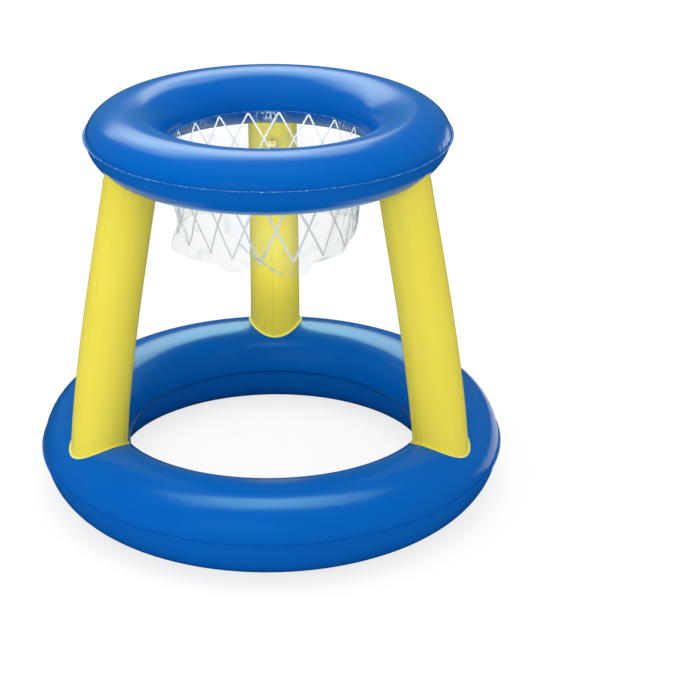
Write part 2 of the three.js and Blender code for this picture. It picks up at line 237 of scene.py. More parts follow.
# The floor: its colour in light, to the camera and in gloss, its glow to the camera near by and
# what far places add, and how much darker its glow is close to the object, a painted contact shadow.
FLOOR_SIZE = 14
FLOOR_COLOUR = 0.80
FLOOR_SEEN = 0.2
FLOOR_IN_GLOSS = (0.02, 0.07, 0.08)
FLOOR_GLOW = 0.835
FLOOR_GLOW_FAR = 0.05
FLOOR_FAR = (0.8, 2.0)
FLOOR_CONTACT_REACH = 0.03
FLOOR_CONTACT_SHADE = 0.93

# The light inside the chambers, in watts and metres.
INSIDE_POWER = 0.08
INSIDE_SIZE = 0.006
INSIDE_DEPTH = 0.030

# Valves, as the solids have them. The flange's profile is by share of its breadth and its height.
FLANGE = 0.026
FLANGE_HEIGHT = 0.0005
FLANGE_PROFILE = (
    (0, 0.9), (0.06, 1.0), (0.12, 1.7), (0.2, 1.7), (0.27, 1.0),
    (0.8, 0.95), (0.87, 1.3), (0.93, 1.1), (1.0, 0.45),
)
RING_FLANGE_LOW = 0.0003
LEG_FLANGE_LOW = 0.0006
STEM = 0.010
STEM_BORE = 0.0056
STEM_LENGTH = 0.0156
COLLAR = 0.013
COLLAR_HEIGHT = 0.0012
LUG_REACH = 0.0028
LUG_DEPTH = 0.0032
LUG_WIDTH = 0.003
KNUCKLE = 0.0018
CAP = 0.011
CAP_HEIGHT = 0.0013
PULL_TAB = 0.003
PLUG_LENGTH = 0.0034
PLUG_TIP = 0.002
FLAP_OVERLAP = 0.001
FLAP_HEIGHT = 0.0006
ROUNDING = 0.0003

# How dense the film is seen face on and edge on.
FILM_ALPHA = 0.068
FILM_EDGE_ALPHA = 0.15

# Fineness of the meshes.
RING_TURNS = 288
ARC_STEPS = 14
LEG_TURNS = 96
LEG_ROWS = 72
FILM_TURNS = 600
FILM_ROWS = 76
ROUND = 48
MARGIN_SHARES = (0.0, 0.35, 0.7, 0.93)
SEAM_ROWS = (-1.5, 0, 2, 3.5, 16, 34)
SEAM_ROW_STEP = 0.0035
SEAM_CLEARANCE = 0.02
ROW_CROWDING = 0.045
SHARP = math.radians(38)

# Steps of the searches for a place on a face.
SLOPE_STEP = 1e-5
SETTLE_STEPS = 6
HALVINGS = 40


def lerp(a, b, share):
    return a + (b - a) * share


def smooth(share):
    share = min(max(share, 0.0), 1.0)
    return share * share * (3 - 2 * share)


def bell(apart, spread):
    """1 in the middle, dying away on both sides."""
    return math.exp(-((apart / spread) ** 2))


def within(place, start, rise, end, fall):
    """1 between start and end, growing over the rise and dying away over the fall."""
    return smooth((place - start) / rise) * smooth((end - place) / fall)


def mesh_object(name, verts, faces):
    mesh = bpy.data.meshes.new(name)
    mesh.from_pydata([tuple(v) for v in verts], [], faces)
    mesh.validate()
    bm = bmesh.new()
    bm.from_mesh(mesh)
    bmesh.ops.recalc_face_normals(bm, faces=bm.faces)
    bm.to_mesh(mesh)
    bm.free()
    mesh.polygons.foreach_set("use_smooth", [True] * len(mesh.polygons))
    mesh.set_sharp_from_angle(angle=SHARP)
    piece = bpy.data.objects.new(name, mesh)
    bpy.context.scene.collection.objects.link(piece)
    return piece


def combine(piece, other, operation):
    """Joins another closed mesh to the piece, or cuts it away, and deletes the other."""
    modifier = piece.modifiers.new("combine", "BOOLEAN")
    modifier.operation = operation
    modifier.solver = "EXACT"
    modifier.object = other
    graph = bpy.context.evaluated_depsgraph_get()
    result = bpy.data.meshes.new_from_object(piece.evaluated_get(graph))
    piece.modifiers.clear()
    piece.data = result
    bpy.data.objects.remove(other)


def paint_points(piece, name, values):
    """Writes one number for each vertex, for the materials to read."""
    layer = piece.data.attributes.new(name, "FLOAT", "POINT")
    layer.data.foreach_set("value", values)


def loop_faces(rows, columns, closed_rows=True, closed_columns=True):
    """Quads of a grid of rows by columns, wrapped in either direction."""
    faces = []
    for i in range(rows if closed_rows else rows - 1):
        for j in range(columns if closed_columns else columns - 1):
            a, b = i * columns + j, ((i + 1) % rows) * columns + j
            along = (j + 1) % columns
            faces.append((a, b, b - j + along, a - j + along))
    return faces


# Rings.
@dataclass
class Ring:
    outer: float
    hole: float
    crest: float
    top: float
    bottom: float
    outer_weld: float
    inner_weld: float
    contact: float
    specks: float
    inner_specks: float

    def grown(self, growth):
        return replace(
            self,
            outer=self.outer + growth,
            hole=self.hole - growth,
            top=self.top + growth,
            bottom=self.bottom - growth,
        )

    def level(self, point):
        """Below zero inside the ring's outer face, above it outside."""
        reach = math.hypot(point.x, point.y) - self.crest
        if reach >= 0:
            across, weld = self.outer - RING_MARGIN - self.crest, self.outer_weld
        else:
            across, weld = self.crest - self.hole - RING_MARGIN, self.inner_weld
        height = self.top - weld if point.z > weld else weld - self.bottom
        rise = abs(point.z - weld) / height
        return (abs(reach) / across) ** FULLNESS + rise**FULLNESS - 1

    def normal(self, point):
        slope = Vector()
        for axis in range(3):
            shift = Vector()
            shift[axis] = SLOPE_STEP
            slope[axis] = self.level(point + shift) - self.level(point - shift)
        return slope.normalized()

    def settle(self, point):
        """The point moved along the face's normal until it lies on the face."""
        for _ in range(SETTLE_STEPS):
            normal = self.normal(point)
            shift = normal * SLOPE_STEP
            slope = (self.level(point + shift) - self.level(point - shift)) / (2 * SLOPE_STEP)
            point = point - normal * (self.level(point) / slope)
        return point


def ring_from_frame(name, contact, specks, inner_specks):
    """A ring's sizes, read off its two packed skins. Specks say how pale its welds are, partly with
    painted highlight; below zero they say how dark, a painted shade in the weld's gap.
    """
    upper = [v.co for v in frame["nodes"][f"{name}_upper_skin"].data.vertices]
    lower = [v.co for v in frame["nodes"][f"{name}_lower_skin"].data.vertices]
    both = upper + lower
    outer = max(math.hypot(co.x, co.y) for co in both)
    hole = min(math.hypot(co.x, co.y) for co in both)
    top = max(co.z for co in upper)
    near = 1e-4
    crest = [math.hypot(co.x, co.y) for co in upper if co.z > top - near]
    return Ring(
        outer=outer,
        hole=hole,
        crest=sum(crest) / len(crest),
        top=top,
        bottom=min(co.z for co in lower),
        outer_weld=min(co.z for co in upper if math.hypot(co.x, co.y) > outer - near),
        inner_weld=min(co.z for co in upper if math.hypot(co.x, co.y) < hole + near),
        contact=contact,
        specks=specks,
        inner_specks=inner_specks,
    )


base_ring = ring_from_frame("base_ring", BASE_CONTACT, BASE_SPECKS, BASE_INNER_SPECKS)
hoop_ring = ring_from_frame("hoop_ring", HOOP_CONTACT, HOOP_SPECKS, HOOP_SPECKS)


def quarter_arc(weld, crest):
    points = []
    for step in range(ARC_STEPS + 1):
        angle = step / ARC_STEPS * math.pi / 2
        across = math.cos(angle) ** (2 / FULLNESS)
        rise = math.sin(angle) ** (2 / FULLNESS)
        points.append((lerp(crest[0], weld[0], across), lerp(weld[1], crest[1], rise)))
    return points


def ring_face(ring, side, outward):
    """One face of a skin, from its outer to its inner weld, as (radius, height)."""
    shrink = SKIN - outward
    inset = RING_MARGIN + shrink
    height = (ring.top if side > 0 else ring.bottom) - side * shrink
    flat = 0 if side > 0 else ring.contact / 2
    rise = side * outward
    outer = quarter_arc((ring.outer - inset, ring.outer_weld + rise), (ring.crest + flat, height))
    inner = quarter_arc((ring.hole + inset, ring.inner_weld + rise), (ring.crest - flat, height))
    return outer + inner[::-1][0 if flat else 1 :]


def ring_skin(name, ring, side):
    rise = side * SKIN
    outer_fold, inner_fold = ring.outer - RING_MARGIN, ring.hole + RING_MARGIN
    outside, inside = ring_face(ring, side, SKIN), ring_face(ring, side, 0)[::-1]

    def margin(edge, fold, height, weld):
        return [(lerp(edge, fold, share), height, weld) for share in MARGIN_SHARES]

    outline = [
        *margin(ring.outer, outer_fold, ring.outer_weld + rise, ring.specks),
        *[(*place, 0.0) for place in outside],
        *margin(ring.hole, inner_fold, ring.inner_weld + rise, ring.inner_specks)[::-1],
        *margin(ring.hole, inner_fold, ring.inner_weld, ring.inner_specks),
        *[(*place, 0.0) for place in inside],
        *margin(ring.outer, outer_fold, ring.outer_weld, ring.specks)[::-1],
    ]
    verts = []
    for i in range(RING_TURNS):
        turn = i / RING_TURNS * 2 * math.pi
        for radius, height, weld in outline:
            push, wave = ring_pucker(ring, turn, radius, height, side)
            reach = radius + push
            verts.append((reach * math.cos(turn), reach * math.sin(turn), height + wave))
    piece = mesh_object(name, verts, loop_faces(RING_TURNS, len(outline)))
    paint_points(piece, "weld", [weld for _, _, weld in outline] * RING_TURNS)
    return piece


def ring_pucker(ring, turn, radius, height, side):
    """Push and rise of the skin: puckers beside the weld, and waves on the weld margin itself."""
    outer = radius > ring.crest
    weld = ring.outer_weld if outer else ring.inner_weld
    edge = ring.outer - RING_MARGIN if outer else ring.hole + RING_MARGIN
    x, y = math.cos(turn), math.sin(turn)
    if radius > edge if outer else radius < edge:
        share = abs(radius - edge) / RING_MARGIN
        return 0.0, noise.noise(Vector((x, y, MARGIN_SEED)) * MARGIN_WAVES) * MARGIN_WAVE * share
    apart = math.hypot(radius - edge, height - weld)
    fade = math.exp(-apart / PUCKER_REACH) * smooth(apart / PUCKER_START)
    count, outward = (PUCKERS_OUTER, 1) if outer else (PUCKERS_INNER, -1)
    spot = Vector((x, y, side * PUCKER_SIDE_SHIFT)) * count
    return noise.noise(spot) * PUCKER_DEPTH * fade * outward, 0.0


# Legs. The leg is worked out as if it stood towards +X, and then turned to its place.
def bezier(points, t):
    a, b, c, d = points
    u = 1 - t
    return a * u**3 + b * (3 * u * u * t) + c * (3 * u * t * t) + d * t**3


def bezier_tangent(points, t):
    a, b, c, d = points
    u = 1 - t
    return ((b - a) * (u * u) + (c - b) * (2 * u * t) + (d - c) * (t * t)).normalized()


def leg_line():
    """The four handles of the leg's bowed middle line, from foot to head."""
    foot_height = (base_ring.outer_weld + base_ring.inner_weld) / 2
    head_height = (hoop_ring.outer_weld + hoop_ring.inner_weld) / 2
    foot = Vector((base_ring.crest + FOOT_OFFSET, 0, foot_height))
    head = Vector((hoop_ring.crest + HEAD_OFFSET, 0, head_height))
    handle = (head - foot).length * HANDLE_SHARE
    foot_lean = Vector((-math.sin(FOOT_LEAN), 0, math.cos(FOOT_LEAN)))
    head_lean = Vector((-math.sin(HEAD_LEAN), 0, math.cos(HEAD_LEAN)))
    return foot, foot + foot_lean * handle, head - head_lean * handle, head


LEG_LINE = leg_line()
SIDEWAYS = Vector((0, 1, 0))


def leg_point(t, turn, growth):
    """A point on the leg's side. Turn is counted from the side that faces away from the axis."""
    outward = SIDEWAYS.cross(bezier_tangent(LEG_LINE, t))
    radius = lerp(FOOT_RADIUS, HEAD_RADIUS, t) + growth
    across = outward * (radius * math.cos(turn)) + SIDEWAYS * (radius * math.sin(turn))
    return bezier(LEG_LINE, t) + across


def leg_end(ring, turn, growth, low, high):
    """Where the leg's side meets the ring between two places, of which low is inside the ring."""
    for _ in range(HALVINGS):
        middle = (low + high) / 2
        if ring.level(leg_point(middle, turn, growth)) < 0:
            low = middle
        else:
            high = middle
    return (low + high) / 2


def leg_pucker(turn, share, seed):
    """Shallow upright creases that start at the welded ends and die away along the tube."""
    x, y = math.cos(turn), math.sin(turn)
    spot = Vector((x * CREASES_ROUND_LEG, y * CREASES_ROUND_LEG, seed + share * LEG_CREASE_DRIFT))
    crease = noise.noise(spot) * LEG_CREASE_DEPTH
    ends = math.exp(-share / FOOT_PUCKER_REACH) + math.exp(-(1 - share) / HEAD_PUCKER_REACH)
    spot = Vector((x * PUCKERS_ROUND_LEG, y * PUCKERS_ROUND_LEG, seed * 3 + share))
    return crease + noise.noise(spot) * LEG_PUCKER_DEPTH * ends


def leg_margin(ring, turn, end, growth):
    """Rows of the turned-out margin on one face of the vinyl, from its edge to the tube."""
    grown = ring.grown(WELD_GAP + growth)
    root = leg_point(end, turn, growth - SKIN)
    centre = bezier(LEG_LINE, end)
    away = root - centre
    normal = grown.normal(root)
    away = (away - normal * away.dot(normal)).normalized()
    return [grown.settle(root + away * (LEG_MARGIN * share)) for share in LEG_MARGIN_SHARES]


def lap_rise(turn):
    """Height of the lapped seam: one sharp edge, and a soft one where the lower sheet ends."""
    reach = (turn - math.pi) * MEAN_RADIUS
    sharp = smooth((reach + LAP_WIDTH / 2) / LAP_EDGE)
    soft = smooth((LAP_WIDTH / 2 - reach) / (LAP_WIDTH * LAP_SOFT_SHARE))
    return SKIN * sharp * soft


def leg_turns():
    """The tube's sections round its axis, closer at the sharp edge of the lapped seam."""
    seam = [SEAM_TURN + step * SEAM_ROW_STEP for step in SEAM_ROWS]
    even = [j / LEG_TURNS * 2 * math.pi for j in range(LEG_TURNS)]
    clear = [turn for turn in even if all(abs(turn - other) > SEAM_CLEARANCE for other in seam)]
    return sorted(seam + clear)


def leg_side(turn, seed, growth, foot, head):
    """One face of the tube's wall at this turn, from foot to head."""
    side = []
    for row in range(LEG_ROWS + 1):
        share = row / LEG_ROWS
        t = lerp(foot, head, share - ROW_CROWDING * math.sin(2 * math.pi * share))
        bulge = leg_pucker(turn, share, seed) * within(share, 0, BULGE_FADE, 1, BULGE_FADE)
        lap = lap_rise(turn) * within(share, 0, LAP_FADE, 1, LAP_FADE) if growth else 0
        side.append(leg_point(t, turn, growth - SKIN + bulge + lap))
    return side


def leg_section(turn, seed):
    """One upright section of the tube: up its outer face, then down its inner face."""
    section = []
    for growth in (SKIN, 0.0):
        foot = leg_end(base_ring.grown(WELD_GAP + growth), turn, growth - SKIN, *FOOT_SEARCH)
        head = leg_end(hoop_ring.grown(WELD_GAP + growth), turn, growth - SKIN, *HEAD_SEARCH)
        rows = [
            *leg_margin(base_ring, turn, foot, growth),
            *leg_side(turn, seed, growth, foot, head),
            *leg_margin(hoop_ring, turn, head, growth)[::-1],
        ]
        section += rows if growth else rows[::-1]
    return section


def leg_tube(name, azimuth, seed):
    turns = leg_turns()
    sections = [leg_section(turn, seed) for turn in turns]
    verts = [co for section in sections for co in section]
    size = len(sections[0])
    piece = mesh_object(name, verts, loop_faces(len(turns), size))
    margin = len(LEG_MARGIN_SHARES)
    one_face = [1.0] * margin + [0.0] * (size // 2 - 2 * margin) + [1.0] * margin
    paint_points(piece, "weld", (one_face + one_face) * len(turns))
    paint_points(piece, "around", [turn for turn in turns for _ in range(size)])
    piece.data.transform(Matrix.Rotation(math.radians(azimuth), 4, "Z"))
    return piece


# Skirt.
def film_hang(turn):
    """Push, shift and height of the loose edge at this turn, on a smooth line through FILM_HANG."""
    count = len(FILM_HANG)
    turn = (turn - FILM_HANG[0][0]) % 360 + FILM_HANG[0][0]
    k = max(i for i in range(count) if FILM_HANG[i][0] <= turn)
    knots = []
    for i in range(k - 1, k + 3):
        lap = i // count * 360
        row = FILM_HANG[i % count]
        knots.append((row[0] + lap, row[1:]))
    (t0, a), (t1, b), (t2, c), (t3, d) = knots
    span = t2 - t1
    s = (turn - t1) / span
    result = []
    for p, q, r, u in zip(a, b, c, d):
        start = (r - p) / (t2 - t0) * span
        end = (u - q) / (t3 - t1) * span
        result.append(
            q * (2 * s**3 - 3 * s**2 + 1)
            + start * (s**3 - 2 * s**2 + s)
            + r * (3 * s**2 - 2 * s**3)
            + end * (s**3 - s**2)
        )
    return result


HANGS = [film_hang(i / FILM_TURNS * 360 - 180) for i in range(FILM_TURNS)]
HEM_TOP = hoop_ring.inner_weld - SKIN - WELD_GAP


def hang_at(turn):
    place = (turn + 180) % 360 / 360 * FILM_TURNS
    k = int(place)
    a, b = HANGS[k % FILM_TURNS], HANGS[(k + 1) % FILM_TURNS]
    return [lerp(p, q, place - k) for p, q in zip(a, b)]


def degrees_apart(turn, middle):
    return (turn - middle + 180) % 360 - 180


def gather(turn, depth):
    """How strongly the film is gathered here, from 0 to 1."""
    total = 0.0
    for middle, spread, reach, strength in GATHERS:
        total += strength * bell(degrees_apart(turn, middle), spread) * bell(depth, reach)
    return total


def crease_distance(turn, height):
    """Signed distance in metres from the slanting crease, and the share of the way along it."""
    per_degree = math.radians(1) * hoop_ring.hole
    (turn_a, height_a), (turn_b, height_b) = CREASE
    along = Vector(((turn_b - turn_a) * per_degree, height_b - height_a))
    here = Vector(((turn - turn_a) * per_degree, height - height_a))
    across = Vector((-along.y, along.x)).normalized()
    return here.dot(across), here.dot(along) / along.length_squared


def film_folds(turn, depth):
    """Radial push of the broad folds, the pleats and the gathers."""
    angle = math.radians(turn)
    spot = Vector((math.cos(angle), math.sin(angle), depth * 3))
    at_right = max(math.cos(angle), 0) ** 6
    broad = noise.noise(spot * BROAD_FOLDS + Vector(BROAD_SEED)) * BROAD_DEPTH
    pleats = noise.noise(spot * PLEATS + Vector(PLEAT_SEED)) * PLEAT_DEPTH
    round_it, down_it = GATHER_FOLDS
    fine = noise.noise(Vector((spot.x * round_it, spot.y * round_it, depth * down_it)))
    grown = smooth(depth / FOLDS_GROW) * (broad + pleats * (PLEATS_ELSEWHERE + at_right))
    return grown + fine * GATHER_DEPTH * gather(turn, depth)


def film_relief(turn, depth, height):
    """Radial push of the folds, the slanting crease and the waist, in metres."""
    apart, along = crease_distance(turn, height)
    edge = smooth((apart + CREASE_EDGE) / (2 * CREASE_EDGE)) * math.exp(-max(apart, 0) / CREASE_FADE)
    crease = CREASE_STEP * within(along, *CREASE_RELIEF_ENDS) * edge
    across = bell(degrees_apart(turn, WAIST_TURN), WAIST_SPREAD)
    waist = WAIST_PUSH * across * bell(depth - WAIST_DEPTH, WAIST_REACH)
    return film_folds(turn, depth) + crease - waist - HANG_INWARD * smooth(depth / HANG_GROWS)


def film_point(turn, depth, lift):
    """A point on the film: turn in degrees, depth below the weld, lifted off its outer face."""
    push, shift, _ = hang_at(turn)
    share = depth / SKIRT_DEPTH
    height = HEM_TOP - depth
    relief = film_relief(turn, depth, height) * smooth(depth / HEM_HEIGHT)
    radius = hoop_ring.hole + push * share + relief
    angle = math.radians(turn + shift * share)
    reach = min(radius, hoop_ring.hole + FILM_OUTMOST) + lift
    return Vector((reach * math.cos(angle), reach * math.sin(angle), height))


def film_depth(turn):
    """How far down the film reaches at this turn."""
    return HEM_TOP - hang_at(turn)[2]


def fine_lines(x, y, z, sharpness):
    """Thin lines where the noise passes through zero, from 0 to 1."""
    return smooth(1 - abs(noise.noise(Vector((x, y, z)))) * sharpness)


def film_haze_and_glint(turn, depth):
    """Where the film shows whiter: its gathers, its loose edge, its pleats and the slanting crease. The
    white streaks in the gathers and along the crease are partly painted glints.
    """
    angle = math.radians(turn)
    x, y = math.cos(angle), math.sin(angle)
    round_it, down_it = GATHER_STREAKS
    streak = fine_lines(x * round_it, y * round_it, depth * down_it, 5)
    # Painted glints: white streaks in the gathers, with the denser crumpled film.
    total = GATHER_GLINT_AND_HAZE * gather(turn, depth) * streak
    to_edge = film_depth(turn) - depth
    total += EDGE_HAZE * bell(to_edge, EDGE_BREADTH)
    apart, along = crease_distance(turn, HEM_TOP - depth)
    # A pale line along the crease: partly the creased film, partly painted glint.
    total += CREASE_GLINT_AND_HAZE * bell(apart, CREASE_BREADTH) * within(along, *CREASE_GLINT_AND_HAZE_ENDS)
    total += PATCH_HAZE * max(noise.noise(Vector((x, y, depth * PATCHES)) * PATCHES), 0) ** 2
    slant = angle * hoop_ring.hole + depth * PLEAT_SLANT
    pleat = fine_lines(slant * PLEAT_STREAKS[0], depth * PLEAT_STREAKS[1], 0, 4)
    at_right = max(math.cos(angle - PLEAT_MIDDLE), 0) ** 8
    total += PLEAT_HAZE * at_right * pleat * smooth(depth / PLEATS_START)
    total += LIP_HAZE * bell(turn - LIP_TURN, LIP_SPREAD) * smooth(1.4 - to_edge / LIP_HEIGHT)
    return min(total - HAZE_UNDER_WELD * (1 - smooth(depth / FOLDS_GROW)), 1.0)


def film_skirt():
    shares = [j / FILM_ROWS for j in range(FILM_ROWS + 1)]
    verts, hazes_and_glints = [], []
    for i in range(FILM_TURNS):
        turn = i / FILM_TURNS * 360 - 180
        reach = film_depth(turn)
        depths = [share * reach for share in shares]
        outside = [film_point(turn, depth, 0.0) for depth in depths]
        outward = Vector((math.cos(math.radians(turn)), math.sin(math.radians(turn)), 0))
        verts += outside + [point - outward * SKIN for point in outside[::-1]]
        haze_and_glint = [film_haze_and_glint(turn, depth) for depth in depths]
        hazes_and_glints += haze_and_glint + haze_and_glint[::-1]
    piece = mesh_object("film_skirt", verts, loop_faces(FILM_TURNS, 2 * len(shares)))
    paint_points(piece, "haze_and_glint", hazes_and_glints)
    return piece


def net_line(start, way):
    """The points of one printed line, from its peak at the hem down to the last row of crossings."""
    points = []
    for row in range(len(NET_DROPS) - 1):
        for step in range(NET_STEPS + (row == len(NET_DROPS) - 2)):
            share = step / NET_STEPS
            across = start + way * 0.5 * (row + share)
            down = lerp(NET_DROPS[row], NET_DROPS[row + 1], share)
            points.append((across, down))
    return points


def ink_share(turn):
    """How broad the lines show here: pulled narrow where the film is gathered at the sides."""
    aside, behind = math.cos(math.radians(turn)), max(math.sin(math.radians(turn)), 0)
    narrowed = NARROWED_RIGHT if aside > 0 else NARROWED_LEFT
    return 1 - narrowed * aside**4 - NARROWED_BEHIND * behind


def ink_points(line):
    """The corners of one line's band, four for each of its points."""
    spacing = 2 * math.pi * hoop_ring.hole / NET_PEAKS
    points = []
    for k, (across, down) in enumerate(line):
        back, ahead = line[max(k - 1, 0)], line[min(k + 1, len(line) - 1)]
        du, dv = (ahead[0] - back[0]) * spacing, ahead[1] - back[1]
        size = math.hypot(du, dv)
        breadth = NET_LINE * ink_share(NET_FIRST_PEAK + across * 360 / NET_PEAKS)
        for side in (-0.5, 0.5):
            u = across + side * breadth * dv / size / spacing
            v = down - side * breadth * du / size
            turn = NET_FIRST_PEAK + u * 360 / NET_PEAKS
            depth = min(max(v, NET_FROM_WELD), film_depth(turn) - NET_FROM_EDGE)
            points += [film_point(turn, depth, lift) for lift in (INK_LIFT, -SKIN - INK_LIFT)]
    return points


def ink_faces(first, count):
    """The faces of a band of which the corners start at first."""
    last = first + 4 * (count - 1)
    faces = []
    for a in range(first, last, 4):
        for p, q in ((0, 2), (3, 1), (2, 3), (1, 0)):
            faces.append((a + p, a + q, a + 4 + q, a + 4 + p))
    faces.append((first, first + 1, first + 3, first + 2))
    faces.append((last, last + 2, last + 3, last + 1))
    return faces


def net_print():
    """White lines of ink on the film, as thin bands that follow it."""
    verts, faces = [], []
    for peak in range(NET_PEAKS):
        for way in (-1, 1):
            line = net_line(peak, way)
            faces += ink_faces(len(verts), len(line))
            verts += ink_points(line)
    return mesh_object("net_print", verts, faces)


# Valves. Each is worked out with its rim at height zero, its strap towards -X and its axis along +Z.
def lathe(name, outline, turns=ROUND):
    """A closed outline of (radius, height) turned about +Z; a point on the axis closes it."""
    verts, rings = [], []
    for radius, height in outline:
        if radius == 0:
            rings.append([len(verts)] * turns)
            verts.append((0, 0, height))
            continue
        rings.append(list(range(len(verts), len(verts) + turns)))
        for j in range(turns):
            angle = j / turns * 2 * math.pi
            verts.append((radius * math.cos(angle), radius * math.sin(angle), height))
    faces = []
    on_axis = outline[0][0] == 0
    for a, b in zip(rings, rings[1:] if on_axis else rings[1:] + rings[:1]):
        for j in range(turns):
            k = (j + 1) % turns
            face = (a[j], a[k], b[k], b[j])
            faces.append(tuple(dict.fromkeys(face)))
    return mesh_object(name, verts, faces)


def bar(name, start, end, width, low, high):
    """A flat bar along X with its far end rounded."""
    way = 1 if end > start else -1
    half = width / 2
    corners = [(start, -half), (end - way * half, -half)]
    for step in range(1, 12):
        angle = -math.pi / 2 + step / 12 * math.pi
        corners.append((end - way * half + way * half * math.cos(angle), half * math.sin(angle)))
    corners += [(end - way * half, half), (start, half)]
    count = len(corners)
    verts = [(x, y, low) for x, y in corners] + [(x, y, high) for x, y in corners]
    sides = [(j, (j + 1) % count, (j + 1) % count + count, j + count) for j in range(count)]
    return mesh_object(name, verts, [tuple(range(count))[::-1], tuple(range(count, 2 * count)), *sides])


def valve_stem(name):
    bore, radius, collar, tip = STEM_BORE / 2, STEM / 2, COLLAR / 2, -STEM_LENGTH
    stem = lathe(name, [
        (bore, tip), (collar - ROUNDING, tip), (collar, tip + ROUNDING),
        (collar, tip + COLLAR_HEIGHT - ROUNDING), (collar - ROUNDING, tip + COLLAR_HEIGHT),
        (radius + ROUNDING, tip + COLLAR_HEIGHT), (radius, tip + COLLAR_HEIGHT + ROUNDING),
        (radius, -2 * ROUNDING), (radius - ROUNDING * 0.4, -ROUNDING * 0.5), (radius - ROUNDING, 0),
        (bore + ROUNDING, 0), (bore, -ROUNDING),
    ])
    lug_top = -KNUCKLE / 2 - PLAY
    lug = bar("lug", -(bore + radius) / 2, -radius - LUG_REACH, LUG_WIDTH, -LUG_DEPTH, lug_top)
    combine(stem, lug, "UNION")
    return stem


def valve_stopper(name):
    low, high, cap = PLAY, PLAY + CAP_HEIGHT, CAP / 2
    plug, tip = STEM_BORE / 2 - PLAY, PLUG_TIP
    stopper = lathe(name, [
        (0, -PLUG_LENGTH), (tip - ROUNDING, -PLUG_LENGTH), (tip, -PLUG_LENGTH + ROUNDING),
        (plug, low), (cap - ROUNDING, low), (cap, low + ROUNDING), (cap, high - ROUNDING),
        (cap - ROUNDING * 0.4, high - ROUNDING * 0.3), (cap - ROUNDING * 1.6, high),
        (cap * 0.62, high), (cap * 0.52, high - ROUNDING), (0, high - ROUNDING * 1.2),
    ])
    reach = STEM / 2 + LUG_REACH - KNUCKLE / 2
    strap = bar("strap", -cap * 0.7, -reach - LUG_WIDTH * 0.15, LUG_WIDTH, low, high - ROUNDING)
    tab = bar("tab", cap * 0.7, cap + PULL_TAB, LUG_WIDTH, low + ROUNDING * 0.5, high - ROUNDING)
    radius, half = KNUCKLE / 2, LUG_WIDTH / 2
    knuckle = lathe("knuckle", [(0, -half), (radius, -half), (radius, half), (0, half)], ROUND // 2)
    knuckle.data.transform(Matrix.Translation((-reach, 0, 0)) @ Matrix.Rotation(math.pi / 2, 4, "X"))
    for piece in (strap, tab, knuckle):
        combine(stopper, piece, "UNION")
    return stopper


def valve_flap(name):
    radius, high = STEM_BORE / 2 + FLAP_OVERLAP, -STEM_LENGTH - PLAY
    low = high - FLAP_HEIGHT
    rounding = FLAP_HEIGHT / 4
    return lathe(name, [
        (0, low), (radius - rounding, low), (radius, low + rounding),
        (radius, high - rounding), (radius - rounding, high), (0, high),
    ])


def valve_matrix(name):
    """Where a valve's rim is and which way it faces, read off its joints."""
    joints = {joint["name"]: joint for joint in frame["joints"]}
    swing = joints[f"{name}_stopper_swing"]
    out = Vector(joints[f"{name}_stem_pull"]["axis"]).normalized()
    sideways = -Vector(swing["axis"]).normalized()
    down = sideways.cross(out)
    reach = STEM / 2 + LUG_REACH - KNUCKLE / 2
    place = Matrix((down, sideways, out)).transposed().to_4x4()
    place.translation = Vector(swing["pos_m"]) + down * reach
    return place


def flange_disc(name, skin, place, low):
    """The thin disc round a stem, draped over the skin that it is welded to."""
    graph = bpy.context.evaluated_depsgraph_get()
    tree = BVHTree.FromObject(skin, graph)
    out = (place.to_3x3() @ Vector((0, 0, 1))).normalized()
    hole, radius = STEM / 2 + PLAY, FLANGE / 2
    verts = []
    for j in range(ROUND):
        angle = j / ROUND * 2 * math.pi
        column = []
        for share, height in FLANGE_PROFILE:
            reach = lerp(hole, radius, share)
            above = place @ Vector((reach * math.cos(angle), reach * math.sin(angle), FLANGE))
            hit = tree.ray_cast(above, -out)[0]
            column.append((hit, height))
        verts += [hit + out * (low + FLANGE_HEIGHT * height) for hit, height in column]
        verts += [hit + out * low for hit, height in column[::-1]]
    return mesh_object(name, verts, loop_faces(ROUND, 2 * len(FLANGE_PROFILE)))


